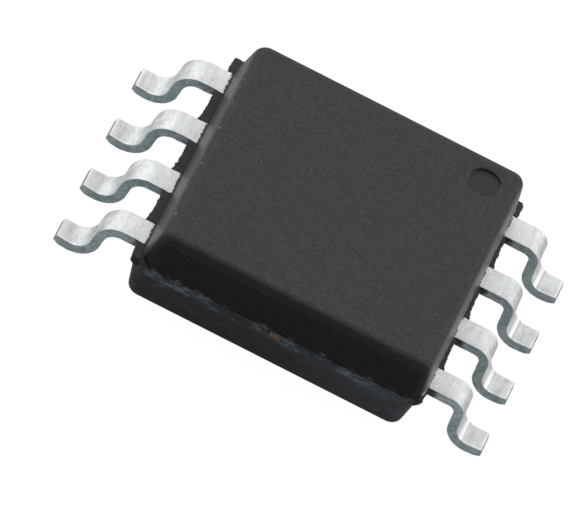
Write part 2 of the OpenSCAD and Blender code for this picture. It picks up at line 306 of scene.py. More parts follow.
def colour_walls(tree, level, reach, high, uneven, sideways):
    """Walls: the near and far walls dark above the parting line as painted shade, and lighter below it as
    painted bounce light, paler towards the right; the sides with leads greyer as painted side light, the
    right side brighter still as painted light.
    """
    # Painted shade makes the near and far walls dark; painted side light makes the walls with leads
    # greyer, and painted light makes the right one brighter still.
    wall = mix_colour(tree, level, (0.007, 0.008, 0.009), (0.015, 0.016, 0.018))
    side_wall = mix_colour(tree, level, (0.042, 0.043, 0.045), (0.098, 0.098, 0.100))
    lit_right_wall = mix_colour(tree, level, (0.066, 0.066, 0.066), (0.160, 0.160, 0.157))
    side_wall = mix_colour(tree, add_ramp(tree, reach, -0.1, 0.1), side_wall, lit_right_wall)
    # Painted bounce light makes the lower walls, which face down, lighter than the upper ones; they are
    # paler towards the right.
    blotch = add_ramp(tree, stretched_noise(tree, 5.0, (1.0, 1.0, 2.5), 4.0, 0.65), 0.35, 0.70)
    lower_wall = mix_colour(tree, blotch, (0.020, 0.023, 0.026), (0.048, 0.055, 0.062))
    paler_lower_wall = mix_colour(tree, blotch, (0.044, 0.050, 0.056), (0.078, 0.088, 0.098))
    lower_wall = mix_colour(tree, add_ramp(tree, reach, *PALER_LOWER_STARTS), lower_wall, paler_lower_wall)
    below = add_ramp(tree, add_math(tree, "ADD", high, uneven), FRAME_TOP, FRAME_TOP - 0.05)
    return mix_colour(tree, sideways, mix_colour(tree, below, wall, lower_wall), side_wall)


def burr_highlight_line(tree, high):
    """A pale, patchy line just above the right wall's leads: partly the worn burr of the parting line,
    partly painted highlight.
    """
    line = add_math(tree, "MULTIPLY", add_ramp(tree, high, FRAME_TOP + 0.13, FRAME_TOP + 0.05),
                    add_ramp(tree, facing(tree, "X"), 0.85, 0.95))
    line = add_math(tree, "MULTIPLY", line, add_ramp(tree, high, FRAME_TOP - 0.02, FRAME_TOP))
    speckle = stretched_noise(tree, 7.0, (1.0, 1.0, 1.0), 4.0, 0.7)
    return add_math(tree, "MULTIPLY", line, add_ramp(tree, speckle, 0.42, 0.56, 0.15, 1.0))


def scratched_edge(tree, high, reach):
    """Small scratches where the left wall meets the top."""
    speckle = stretched_noise(tree, 11.0, (0.7, 1.0, 1.0), 3.0, 0.7)
    scratches = add_math(tree, "MULTIPLY", add_band(tree, reach, *SCRATCH_BAND, 0.03),
                         add_ramp(tree, speckle, 0.60, 0.68))
    return add_math(tree, "MULTIPLY", scratches, add_ramp(tree, high, TOP - 0.30, TOP - 0.10))


def make_resin():
    """Black moulding compound: a grained top, smoother walls, and a scuffed parting line."""
    material, tree, shader = new_material("black_moulding_compound")
    grain = add_group(tree, GRAIN, {
        "Grain per mm": 22.0, "Mottle per mm": 3.0, "Speck per mm": 6.0, "Speck size": 0.07})
    high = place_mm(tree, "Z")
    reach = place_mm(tree, "X")
    level = add_ramp(tree, grain.outputs["Height"], 0.3, 0.7)
    uneven = add_ramp(tree, grain.outputs["Mottle"], 0.3, 0.7, -0.03, 0.03)

    # The top's grained colour turns into the walls' colour, with its painted shade and light, over the
    # rounded edge, sooner on the sides with leads.
    level_face = add_math(tree, "ABSOLUTE", facing(tree, "Z"))
    sideways = along_y(tree, 0.70, 0.20)
    wall_ends = add_ramp(tree, sideways, 0.0, 1.0, 0.0, 0.45)
    top_starts = add_ramp(tree, sideways, 0.0, 1.0, 0.72, 0.98)
    flat = add_ramp(tree, level_face, wall_ends, top_starts)
    top = mix_colour(tree, level, (0.011, 0.012, 0.015), (0.037, 0.037, 0.041))
    walls = colour_walls(tree, level, reach, high, uneven, sideways)
    skin = mix_colour(tree, flat, walls, top)

    # The torn resin beside the leads is darkened as painted shade between the leads, and the dimple's
    # floor is darker.
    strip_shade = add_math(tree, "MULTIPLY", add_ramp(tree, high, FRAME_TOP + 0.02, FRAME_TOP),
                         add_ramp(tree, add_math(tree, "ABSOLUTE", reach), *STRIP_SHADE_STARTS))
    skin = mix_colour(tree, strip_shade, skin, (0.022, 0.022, 0.023))
    sunk = add_math(tree, "MULTIPLY", add_ramp(tree, high, TOP - 0.02, TOP - 0.04),
                    add_ramp(tree, level_face, 0.2, 0.9))
    skin = mix_colour(tree, add_math(tree, "MULTIPLY", sunk, 0.75), skin, (0.009, 0.009, 0.013))

    scuffs = make_scuffs(tree, high, reach, along_y(tree, 0.5, 0.8))
    skin = mix_colour(tree, scuffs, skin, (0.155, 0.19, 0.205))
    # Painted highlight along the burr of the right wall's parting line.
    skin = mix_colour(tree, burr_highlight_line(tree, high), skin, (0.78, 0.77, 0.73))
    skin = mix_colour(tree, grain.outputs["Specks"], skin, (0.12, 0.12, 0.12))
    skin = mix_colour(tree, scratched_edge(tree, high, reach), skin, (0.20, 0.20, 0.20))
    # Less specular on the near and far walls darkens them further, as painted shade.
    sheen = add_math(tree, "MAXIMUM", flat, sideways)
    tree.links.new(skin, shader.inputs["Base Color"])
    tree.links.new(add_ramp(tree, flat, 0.0, 1.0, 0.46, 0.60), shader.inputs["Roughness"])
    tree.links.new(add_ramp(tree, sheen, 0.0, 1.0, 0.11, 0.42), shader.inputs["Specular IOR Level"])
    tree.links.new(bump(tree, grain.outputs["Height"], 0.5, 0.005), shader.inputs["Normal"])
    return material


def foot_and_heel_highlights(tree, reach, out):
    """Painted highlights: the foot's bright rim, and the bright line across the right row's heel bend."""
    turns = add_math(tree, "DIVIDE", place_mm(tree, "Y"), PITCH)
    across = add_math(tree, "SUBTRACT", add_math(tree, "FRACT", turns), 0.5)
    rim = add_ramp(tree, add_math(tree, "ABSOLUTE", across), 0.14, 0.17)
    rim = add_math(tree, "MAXIMUM", rim, add_ramp(tree, out, 3.98, 4.02))
    rim = add_math(tree, "MULTIPLY", rim, add_ramp(tree, out, 3.66, 3.70))
    heel = add_band(tree, reach, *HEEL_HIGHLIGHT, 0.02)
    return add_math(tree, "MAXIMUM", add_math(tree, "MULTIPLY", rim, 0.5), heel)


def plate_colour(tree, reach, out, cloudy, fine):
    """The plated faces, with the marks of forming on the bends, the foot and the tip, and painted
    highlights on the foot's rim and the heel.
    """
    plate = mix_colour(tree, cloudy, (0.66, 0.67, 0.665), (0.91, 0.91, 0.895))
    plate = mix_colour(tree, add_math(tree, "MULTIPLY", fine, 0.40), plate, (0.54, 0.55, 0.54))
    lines = add_ramp(tree, stretched_noise(tree, 10.0, (1.0, 0.12, 1.0), 4.0, 0.7), 0.42, 0.68)
    drawn = mix_colour(tree, add_math(tree, "MULTIPLY", lines, 0.42), plate, (0.50, 0.51, 0.50))
    foot = add_math(tree, "MULTIPLY", add_ramp(tree, out, *FOOT_STARTS),
                    add_ramp(tree, lines, 0.0, 1.0, 0.25, 0.55))
    drawn = mix_colour(tree, foot, drawn, (0.52, 0.525, 0.52))
    # Painted highlights on the foot's rim and across the heel.
    drawn = mix_colour(tree, foot_and_heel_highlights(tree, reach, out), drawn, (0.94, 0.94, 0.92))
    brown = add_math(tree, "MULTIPLY", add_band(tree, reach, *HEEL_STAIN, 0.02), 0.5)
    drawn = mix_colour(tree, brown, drawn, (0.50, 0.47, 0.42))
    return mix_colour(tree, add_ramp(tree, out, *TIP_LINE), drawn, (0.26, 0.27, 0.27))


def make_tin():
    """Matte tin plate: pale tops, sheared sides greyer and bluer as painted shade, and resin bleed where
    it leaves the body.
    """
    material, tree, shader = new_material("matte_tin_plate")
    grain = add_group(tree, GRAIN, {
        "Grain per mm": 14.0, "Mottle per mm": 5.0, "Speck per mm": 9.0, "Speck size": 0.08})
    reach = place_mm(tree, "X")
    out = add_math(tree, "ABSOLUTE", reach)
    cloudy = add_ramp(tree, grain.outputs["Mottle"], 0.36, 0.64)
    fine = add_ramp(tree, grain.outputs["Height"], 0.3, 0.7)
    drawn = plate_colour(tree, reach, out, cloudy, fine)

    # Painted shade: the side faces along the rows get a darker, bluer colour than the tops.
    side = along_y(tree, 0.45, 0.85)
    cut = mix_colour(tree, fine, (0.31, 0.37, 0.385), (0.48, 0.57, 0.59))
    sheared = mix_colour(tree, side, drawn, cut)

    # The side faces are burnt near the body, and a little resin has bled over the roots.
    roughly = add_ramp(tree, grain.outputs["Height"], 0.3, 0.7, -0.04, 0.04)
    edge = add_ramp(tree, reach, -0.1, 0.1, BLEED_EDGE["left"], BLEED_EDGE["right"])
    from_edge = add_math(tree, "SUBTRACT", add_math(tree, "ADD", out, roughly), edge)
    stain = add_math(tree, "MULTIPLY", add_ramp(tree, from_edge, *STAIN_FADES), side)
    burnt = mix_colour(tree, add_ramp(tree, cloudy, 0.45, 0.85),
                       (0.045, 0.038, 0.032), (0.20, 0.165, 0.13))
    dirty = mix_colour(tree, stain, sheared, burnt)
    ragged = add_math(tree, "ADD", out, add_math(tree, "MULTIPLY", roughly, 0.45))
    bleed = add_ramp(tree, add_math(tree, "SUBTRACT", ragged, edge), 0.008, -0.006)
    tree.links.new(mix_colour(tree, bleed, dirty, (0.05, 0.05, 0.052)), shader.inputs["Base Color"])
    covered = add_math(tree, "MAXIMUM", add_math(tree, "MULTIPLY", stain, 0.8), bleed)
    tree.links.new(add_ramp(tree, covered, 0.0, 1.0, 1.0, 0.0), shader.inputs["Metallic"])
    tree.links.new(add_ramp(tree, cloudy, 0.0, 1.0, 0.50, 0.64), shader.inputs["Roughness"])
    tree.links.new(bump(tree, grain.outputs["Height"], 0.4, 0.005), shader.inputs["Normal"])
    return material


def make_metal(name, dark, light, roughness, metallic=1.0):
    """A plain material with a little mottling, for the pieces inside the resin."""
    material, tree, shader = new_material(name)
    grain = add_group(tree, GRAIN, {
        "Grain per mm": 40.0, "Mottle per mm": 6.0, "Speck per mm": 9.0, "Speck size": 0.02})
    tree.links.new(mix_colour(tree, grain.outputs["Mottle"], dark, light), shader.inputs["Base Color"])
    shader.inputs["Metallic"].default_value = metallic
    shader.inputs["Roughness"].default_value = roughness
    tree.links.new(bump(tree, grain.outputs["Height"], 0.2, 0.002), shader.inputs["Normal"])
    return material


def smear_cut_ends(material):
    """Resin dragged over the copper where the tie bars are cut off at the near and far walls."""
    tree = material.node_tree
    shader = tree.nodes["Principled BSDF"]
    copper = shader.inputs["Base Color"].links[0].from_socket
    from_middle = add_math(tree, "SUBTRACT", place_mm(tree, "Z"), FRAME_TOP - FRAME_T / 2)
    from_middle = add_math(tree, "ABSOLUTE", from_middle)
    ragged = add_ramp(tree, stretched_noise(tree, 14.0, (1.0, 1.0, 1.0)), 0.3, 0.7, -0.035, 0.035)
    smeared = add_ramp(tree, add_math(tree, "ADD", from_middle, ragged), 0.035, 0.065)
    at_wall = add_ramp(tree, add_math(tree, "ABSOLUTE", place_mm(tree, "Y")), 2.40, 2.50)
    smeared = add_math(tree, "MULTIPLY", smeared, at_wall)
    tree.links.new(mix_colour(tree, smeared, copper, (0.030, 0.032, 0.034)), shader.inputs["Base Color"])
    tree.links.new(add_ramp(tree, smeared, 0.0, 1.0, 1.0, 0.0), shader.inputs["Metallic"])


RESIN = make_resin()
TIN = make_tin()
COPPER = make_metal("bare_copper_alloy", (0.10, 0.075, 0.05), (0.26, 0.18, 0.115), 0.55)
smear_cut_ends(COPPER)
SILVER_EPOXY = make_metal("silver_filled_adhesive", (0.45, 0.45, 0.44), (0.62, 0.62, 0.60), 0.55, 0.3)
SILICON = make_metal("polished_silicon", (0.16, 0.17, 0.21), (0.22, 0.23, 0.28), 0.12, 0.6)
GOLD = make_metal("gold_wire", (0.82, 0.58, 0.18), (0.90, 0.68, 0.28), 0.22)


# ---- moulded body ----

SIDE_STEPS = 90
CORNER_STEPS = 8
DIMPLE_STEPS = 64


def outline(half_w, half_l, radius, centre):
    """Points of a rounded rectangle, anticlockwise from its right side's near end."""
    points = []
    for quarter, (sx, sy) in enumerate(((1, 1), (-1, 1), (-1, -1), (1, -1))):
        middle = Vector((sx * (half_w - radius), sy * (half_l - radius))) + centre
        for step in range(CORNER_STEPS + 1):
            angle = math.radians(90) * (quarter + step / CORNER_STEPS)
            points.append(middle + radius * Vector((math.cos(angle), math.sin(angle))))
        along = (quarter + 1) % 4
        ends = ((1, 1), (-1, 1), (-1, -1), (1, -1))[along]
        next_middle = Vector((ends[0] * (half_w - radius), ends[1] * (half_l - radius))) + centre
        angle = math.radians(90) * (quarter + 1)
        arm = radius * Vector((math.cos(angle), math.sin(angle)))
        for step in range(1, SIDE_STEPS):
            points.append((middle + arm).lerp(next_middle + arm, step / SIDE_STEPS))
    return points


def body_ring(bm, half, height, inset, burr=0.0, seed=0.0):
    """One ring of a half's skin, set in from its parting outline, with a wandering edge."""
    half_w = half["width"] / 2 - inset
    half_l = half["length"] / 2 - inset
    left, right = half["spread"]
    rim_share = max(0.0, 1.0 - abs(height - FRAME_TOP) / (TOP - FRAME_TOP))
    ring = []
    for point in outline(half_w, half_l, half["corner"] - inset, half["middle"]):
        out = point - half["middle"]
        moved = point + Vector((max(out.x, 0) * right + min(out.x, 0) * left, 0)) * rim_share / half_w
        if burr:
            spot = (point.x, point.y, seed)
            push = wander(spot, 0.16, burr) + wander(spot, 0.04, burr)
            moved = moved + out * (push / out.length)
        ring.append(bm.verts.new(Vector((moved.x, moved.y, height)) * MM))
    return ring


def bridge(bm, first, second):
    """A closed band of faces between two rings with as many points."""
    count = len(first)
    for k in range(count):
        following = (k + 1) % count
        bm.faces.new((first[k], first[following], second[following], second[k]))


def rounded_edge(half, level, plane, steps):
    """(height, inset) of the edge that turns from the flat face into the drafted wall."""
    sign = 1 if plane > level else -1
    radius = half["edge"]
    draft = half["draft"]
    centre_z = plane - sign * radius
    centre_inset = abs(centre_z - level) * math.tan(draft) + radius / math.cos(draft)
    turn = [math.radians(90) + (draft - math.radians(90)) * k / steps for k in range(steps + 1)]
    return [(centre_z + sign * radius * math.sin(a), centre_inset - radius * math.cos(a)) for a in turn]


def dimple_rings(bm, centre):
    """Rings of the index dimple, from its soft lip down to its floor."""
    radius = DIMPLE_D / 2
    profile = ((0.008, 0.0), (0.002, -0.002), (-0.002, -0.008), (-0.008, -0.024),
               (-0.016, -0.038), (-0.028, -0.045), (-0.050, -DIMPLE_DEPTH), (-0.150, -DIMPLE_DEPTH))
    rings = []
    for out, drop in profile:
        ring = []
        for step in range(DIMPLE_STEPS):
            angle = 2 * math.pi * step / DIMPLE_STEPS
            place = centre + (radius + out) * Vector((math.cos(angle), math.sin(angle)))
            ring.append(bm.verts.new(Vector((place.x, place.y, TOP + drop)) * MM))
        rings.append(ring)
    return rings


# (distance from the parting plane, inset, wander) of the rings beside it. The ledge lies just
# under the leads' top faces, so the upper rim runs past the parting plane to meet it.
RIM_ABOVE = ((0.05, 0.008, 0.002), (0.012, 0.006, 0.003), (-0.010, 0.008, 0.003))
RIM_BELOW = ((0.19, 0.032, 0.003), (0.12, 0.024, 0.006), (0.06, 0.016, 0.008), (0.03, 0.014, 0.008),
             (0.014, 0.018, 0.006), (0.010, 0.026, 0.004))


def wall_rings(bm, half, plane, edge_steps, shares, rim):
    """Rings from a half's flat face, over its rounded edge and down its wall to the rim."""
    rings = [body_ring(bm, half, height, inset)
             for height, inset in rounded_edge(half, FRAME_TOP, plane, edge_steps)]
    for share in shares:
        height = FRAME_TOP + share * (plane - FRAME_TOP)
        rings.append(body_ring(bm, half, height, abs(height - FRAME_TOP) * math.tan(half["draft"])))
    for drop, inset, burr in rim:
        height = FRAME_TOP + drop * (1 if plane > FRAME_TOP else -1)
        rings.append(body_ring(bm, half, height, inset, burr, 2.0 + 7 * drop))
    return rings


def make_body_shell(bm):
    """The body's skin: upper half, ledge, lower half, and the dimple in the top."""
    upper, lower = HALVES["upper"], HALVES["lower"]
    skin = wall_rings(bm, upper, TOP, 10, (0.6, 0.4, 0.2), RIM_ABOVE)
    top_ring = skin[0]
    underside = wall_rings(bm, lower, BOTTOM, 6, (0.7, 0.5, 0.35), RIM_BELOW)
    skin.extend(reversed(underside))
    for first, second in zip(skin, skin[1:]):
        bridge(bm, first, second)
    bm.faces.new(skin[-1])

    corner = Vector((upper["width"], upper["length"])) / 2
    top_inset = (TOP - FRAME_TOP) * math.tan(upper["draft"]) + DIMPLE_INSET
    dimple = dimple_rings(bm, upper["middle"] + corner - Vector((top_inset, top_inset)))
    for first, second in zip(dimple, dimple[1:]):
        bridge(bm, first, second)
    bm.faces.new(dimple[-1])
    edges = set()
    for ring in (top_ring, dimple[0]):
        for k, vert in enumerate(ring):
            edges.add(bm.edges.get((vert, ring[(k + 1) % len(ring)])))
    bmesh.ops.triangle_fill(bm, use_beauty=True, use_dissolve=False, edges=list(edges))


def strip_sections(row, number):
    """(place along the row, reach) of the resin between a numbered lead and the next."""
    start, end = lead_y(number) - LEAD_NEAR, lead_y(number + 1) + LEAD_FAR
    shares = [step / STRIP_STEPS for step in range(STRIP_STEPS + 1)]
    return [(start + (end - start) * step / STRIP_STEPS,
             STRIP_REACH[row] + STRIP_CLING * share ** 5)
            for step, share in enumerate(shares)]


def stub_sections(row, side):
    """The same for the stub beyond an outer lead: side 1 is a row's far end, whose stub is
    square, and -1 its near end, whose stub is worn round."""
    start = lead_y(1) + LEAD_FAR if side > 0 else lead_y(LEADS_PER_ROW) - LEAD_NEAR
    shares = [step / STUB_STEPS for step in range(STUB_STEPS + 1)]
    worn, power = (0.015, 20) if side > 0 else (0.10, 7)
    return [(start + side * (STUB_L - STUB_TRIM) * share, STUB_REACH[row][side] - worn * share ** power)
            for share in shares]


def make_strip(bm, row, sections, seed):
    """A torn strip of resin in the lead frame's plane, as a closed solid set into the wall."""
    sign = ROWS[row]
    root = wall_reach(row) - RESIN_ROOT
    layers = ((-0.003, -0.014), (-0.012, -0.003), (-0.05, -0.001), (-0.10, -0.004), (-0.15, -0.002),
              (-0.178, -0.006), (-0.187, -0.020))
    rings = []
    for place, reach in sections:
        ring = []
        for depth, out in layers:
            torn = (wander((place, depth * 2, 0), 0.09, 0.022, seed)
                    + wander((place, depth * 3, 0), 0.028, 0.018, seed))
            height = FRAME_TOP + depth + wander((place, depth, 0), 0.05, 0.003, seed + 3) - 0.002
            ring.append(bm.verts.new(Vector((sign * (reach + out + torn), place, height)) * MM))
        for depth in (layers[-1][0], layers[0][0]):
            ring.append(bm.verts.new(Vector((sign * root, place, FRAME_TOP + depth)) * MM))
        rings.append(ring)
    for first, second in zip(rings, rings[1:]):
        bridge(bm, first, second)
    bm.faces.new(rings[0])
    bm.faces.new(rings[-1])


def make_body():
    """The whole moulding: its skin, and the torn resin between and beyond the leads."""
    bm = bmesh.new()
    make_body_shell(bm)
    for row in ROWS:
        for number in range(1, LEADS_PER_ROW):
            make_strip(bm, row, strip_sections(row, number), 10 * number + ROWS[row])
        for side in (1, -1):
            make_strip(bm, row, stub_sections(row, side), 50 + 7 * side + ROWS[row])
    bmesh.ops.recalc_face_normals(bm, faces=bm.faces)
    mesh = bpy.data.meshes.new("resin_body")
    bm.to_mesh(mesh)
    bm.free()
    smooth(mesh, 35)
    mesh.materials.append(RESIN)
    body = new_object("resin_body", mesh)
    body.modifiers.new("flat faces stay flat", "WEIGHTED_NORMAL").keep_sharp = True
    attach(body, "root")
    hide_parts("moulded_body")


# ---- leads ----

def lead_path(row):
    """Corners of a lead's middle line as (reach, height), with the bend radii there."""
    turn = math.radians(90 - RISER_LEAN[row])
    lift = math.radians(TOE_LIFT[row])
    middle = FRAME_TOP - FRAME_T / 2
    shoulder_r = SHOULDER_R[row] + FRAME_T / 2
    heel_r = HEEL_R[row] + FRAME_T / 2
    down = Vector((math.cos(turn), -math.sin(turn)))
    bend_start = Vector((RISER_REACH[row] - shoulder_r * math.sin(turn), middle))
    shoulder = bend_start + Vector((shoulder_r * math.tan(turn / 2), 0))
    riser_top = shoulder + down * shoulder_r * math.tan(turn / 2)
    heel_y = FRAME_T / 2 + heel_r
    riser_l = (riser_top.y + heel_r * math.cos(turn) - heel_y) / math.sin(turn)
    heel = riser_top + down * (riser_l + heel_r * math.tan((turn + lift) / 2))
    reach = TIP_REACH - TIP_TRIM
    tip = Vector((reach, heel.y + (reach - heel.x) * math.tan(lift)))
    root = Vector((wall_reach(row) - FRAME_T, middle))
    return (root, shoulder, heel, tip), (shoulder_r, heel_r)


LEAD_SOCKETS = (
    ("Root", "Vector"), ("Shoulder", "Vector"), ("Heel", "Vector"), ("Tip", "Vector"),
    ("Shoulder radius", "Float"), ("Heel radius", "Float"), ("Width", "Float"), ("Taper", "Float"),
    ("Thickness", "Float"), ("Edge radius", "Float"), ("Tip roll", "Float"),
    ("Seed", "Float"), ("Material", "Material"))
PATH_STEP = 0.018
BEND_STEPS = 16
SECTION_STEPS = 4
ROLL_LENGTH = 0.12
RIPPLE_PER_MM = 8.0
RIPPLE_LEVEL = 0.70
RIPPLE_DEPTH = 0.016


def split_vector(tree, vector):
    """The three parts of a vector."""
    return add_node(tree, "ShaderNodeSeparateXYZ", {"Vector": vector}).outputs


def switch_by_corner(tree, kind, values):
    """A value for each of the path's four corners, picked by the corner's index."""
    made = add_node(tree, "GeometryNodeIndexSwitch", data_type=kind)
    while len(made.index_switch_items) < 4:
        made.index_switch_items.new()
    tree.links.new(add_node(tree, "GeometryNodeInputIndex").outputs["Index"], made.inputs["Index"])
    for corner, value in values.items():
        tree.links.new(value, made.inputs[corner + 1])
    return made.outputs["Output"]


def bent_path(tree, given):
    """The lead's middle line, with its two bends, at an even step."""
    corners = switch_by_corner(tree, "VECTOR", {
        k: given[label] for k, label in enumerate(("Root", "Shoulder", "Heel", "Tip"))})
    radii = switch_by_corner(tree, "FLOAT", {1: given["Shoulder radius"], 2: given["Heel radius"]})
    line = add_node(tree, "GeometryNodeMeshLine", {"Count": 4})
    placed = add_node(tree, "GeometryNodeSetPosition", {
        "Geometry": line.outputs["Mesh"], "Position": corners})
    path = add_node(tree, "GeometryNodeMeshToCurve", {"Mesh": placed.outputs["Geometry"]})
    bent = add_node(tree, "GeometryNodeFilletCurve", {
        "Curve": path.outputs["Curve"], "Count": BEND_STEPS, "Radius": radii}, mode="POLY")
    even = add_node(tree, "GeometryNodeResampleCurve", {
        "Curve": bent.outputs["Curve"], "Length": PATH_STEP * MM}, mode="LENGTH")
    turned = add_node(tree, "GeometryNodeSetCurveNormal", {
        "Curve": even.outputs["Curve"], "Normal": (0.0, 1.0, 0.0)}, mode="FREE")
    return turned.outputs["Curve"]


def swept_lead(tree, given):
    """The soft-edged section swept along the path, and the middle line's place at each point."""
    kept = add_node(tree, "GeometryNodeCaptureAttribute", {"Geometry": bent_path(tree, given)})
    kept.capture_items.new("VECTOR", "Middle")
    tree.links.new(add_node(tree, "GeometryNodeInputPosition").outputs["Position"], kept.inputs[1])
    section = add_node(tree, "GeometryNodeCurvePrimitiveQuadrilateral", {
        "Width": given["Width"], "Height": given["Thickness"]})
    soft = add_node(tree, "GeometryNodeFilletCurve", {
        "Curve": section.outputs["Curve"], "Count": SECTION_STEPS,
        "Radius": given["Edge radius"]}, mode="POLY")
    split = add_node(tree, "GeometryNodeSubdivideCurve", {"Curve": soft.outputs["Curve"], "Cuts": 1})
    swept = add_node(tree, "GeometryNodeCurveToMesh", {
        "Curve": kept.outputs["Geometry"], "Profile Curve": split.outputs["Curve"], "Fill Caps": True})
    return swept.outputs["Mesh"], kept.outputs[1]


def move_points(tree, geometry, offset):
    """Moves every point of a geometry by an offset."""
    made = add_node(tree, "GeometryNodeSetPosition", {"Geometry": geometry, "Offset": offset})
    return made.outputs["Geometry"]


def tip_roll_offset(tree, given, here, centre, tip):
    """The shear rolls the underside up at the tip."""
    to_tip = add_math(tree, "ABSOLUTE", add_math(tree, "SUBTRACT", tip["X"], here["X"]))
    near_tip = add_node(tree, "ShaderNodeMapRange", {
        "Value": to_tip, "From Min": ROLL_LENGTH * MM, "From Max": 0.0, "To Min": 0.0, "To Max": 1.0})
    rounded = add_math(tree, "POWER", near_tip.outputs["Result"], 2.0)
    below = add_math(tree, "DIVIDE", add_math(tree, "SUBTRACT", centre["Z"], here["Z"]),
                     add_math(tree, "MULTIPLY", given["Thickness"], 0.5), clamp=True)
    rise = add_math(tree, "MULTIPLY", add_math(tree, "MULTIPLY", rounded, below), given["Tip roll"])
    return add_node(tree, "ShaderNodeCombineXYZ", {"Z": rise}).outputs["Vector"]


def taper_offset(tree, given, here, centre, tip):
    """The far edge comes in from the shoulder to the tip."""
    shoulder = split_vector(tree, given["Shoulder"])
    share_out = add_node(tree, "ShaderNodeMapRange", {
        "Value": here["X"], "From Min": shoulder["X"], "From Max": tip["X"]})
    across = add_math(tree, "ADD", add_math(tree, "SUBTRACT", here["Y"], centre["Y"]),
                      add_math(tree, "MULTIPLY", given["Width"], 0.5))
    far_share = add_math(tree, "DIVIDE", across, given["Width"], clamp=True)
    taper = add_math(tree, "MULTIPLY", add_math(tree, "MULTIPLY", far_share, share_out.outputs["Result"]),
                     given["Taper"])
    inward = add_math(tree, "MULTIPLY", taper, -1.0)
    return add_node(tree, "ShaderNodeCombineXYZ", {"Y": inward}).outputs["Vector"]


def ripple_offset(tree, given, place):
    """Stamping and plating leave the faces a little uneven."""
    shifted = add_node(tree, "ShaderNodeCombineXYZ", {"X": given["Seed"], "Y": given["Seed"]})
    seeded = add_node(tree, "ShaderNodeVectorMath", {
        0: place, 1: shifted.outputs["Vector"]}, operation="ADD")
    ripple = add_node(tree, "ShaderNodeTexNoise", {
        "Vector": seeded.outputs["Vector"], "Scale": RIPPLE_PER_MM / MM, "Detail": 3.0})
    depth = add_math(tree, "MULTIPLY",
                     add_math(tree, "SUBTRACT", ripple.outputs["Fac"], RIPPLE_LEVEL), RIPPLE_DEPTH * MM)
    normal = add_node(tree, "GeometryNodeInputNormal").outputs["Normal"]
    push = add_node(tree, "ShaderNodeVectorMath", {0: normal, "Scale": depth}, operation="SCALE")
    return push.outputs["Vector"]


def build_lead_tree():
    """Geometry nodes for a formed lead: a bent path swept with a soft-edged section."""
    tree = bpy.data.node_groups.new("formed_lead", "GeometryNodeTree")
    tree.is_modifier = True
    for label, kind in LEAD_SOCKETS:
        tree.interface.new_socket(label, in_out="INPUT", socket_type="NodeSocket" + kind)
    tree.interface.new_socket("Geometry", in_out="OUTPUT", socket_type="NodeSocketGeometry")
    given = add_node(tree, "NodeGroupInput").outputs
    shape, middle = swept_lead(tree, given)
    place = add_node(tree, "GeometryNodeInputPosition").outputs["Position"]
    here, centre, tip = (split_vector(tree, spot) for spot in (place, middle, given["Tip"]))
    shape = move_points(tree, shape, tip_roll_offset(tree, given, here, centre, tip))
    shape = move_points(tree, shape, taper_offset(tree, given, here, centre, tip))
    shape = move_points(tree, shape, ripple_offset(tree, given, place))
    real = add_node(tree, "GeometryNodeRealizeInstances", {"Geometry": shape})
    coated = add_node(tree, "GeometryNodeSetMaterial", {
        "Geometry": real.outputs["Geometry"], "Material": given["Material"]})
    result = add_node(tree, "NodeGroupOutput")
    tree.links.new(coated.outputs["Geometry"], result.inputs["Geometry"])
    return tree


def run_tree(tree, name, values):
    """Evaluates a geometry tree with named inputs and returns the plain mesh."""
    holder = new_object(name, bpy.data.meshes.new(name))
    modifier = holder.modifiers.new(name, "NODES")
    modifier.node_group = tree
    for item in tree.interface.items_tree:
        if item.in_out == "INPUT" and item.name in values:
            modifier[item.identifier] = values[item.name]
    holder.update_tag()
    bpy.context.view_layer.update()
    evaluated = holder.evaluated_get(bpy.context.evaluated_depsgraph_get())
    mesh = bpy.data.meshes.new_from_object(evaluated)
    bpy.data.objects.remove(holder)
    return mesh


def add_finger(bm, row, y):
    """The widened end of the lead inside the resin."""
    sign = ROWS[row]
    offset = sign * FRAME_X
    flare = FINGER_W / 2 - LEAD_NEAR
    half_outline = ((wall_reach(row) - 0.02, LEAD_NEAR), (NECK_REACH + offset, LEAD_NEAR),
                    (NECK_REACH + offset - flare, FINGER_W / 2), (FINGER_REACH + offset, FINGER_W / 2))
    shape = list(half_outline) + [(x, -w) for x, w in reversed(half_outline)]
    inset = 0.002
    layers = []
    for height in (FRAME_TOP - inset, FRAME_TOP - FRAME_T + inset):
        layers.append([bm.verts.new(Vector((sign * x, y + w * (1 - inset), height)) * MM)
                       for x, w in shape])
    bridge(bm, layers[0], layers[1])
    bm.faces.new(layers[0])
    bm.faces.new(layers[1])


def make_lead(tree, row, number):
    """One formed lead, with its finger inside the resin."""
    sign = ROWS[row]
    y = lead_y(number)
    width = LEAD_NEAR + LEAD_FAR
    middle = y + width / 2 - LEAD_NEAR
    corners, radii = lead_path(row)
    values = {label: Vector((sign * corner.x, middle, corner.y)) * MM
              for label, corner in zip(("Root", "Shoulder", "Heel", "Tip"), corners)}
    values.update({
        "Shoulder radius": radii[0] * MM, "Heel radius": radii[1] * MM,
        "Width": width * MM, "Taper": LEAD_TAPER * MM,
        "Thickness": FRAME_T * MM, "Edge radius": LEAD_EDGE_R * MM, "Tip roll": TIP_ROLL * MM,
        "Seed": float(number + 10 * sign), "Material": TIN})
    name = "lead_%s_%d" % (row, number)
    mesh = run_tree(tree, "formed_" + name, values)
    bm = bmesh.new()
    bm.from_mesh(mesh)
    add_finger(bm, row, y)
    bmesh.ops.recalc_face_normals(bm, faces=bm.faces)
    bm.to_mesh(mesh)
    bm.free()
    smooth(mesh, 50)
    lead = new_object("formed_" + name, mesh)
    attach(lead, "root")
    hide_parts(name)


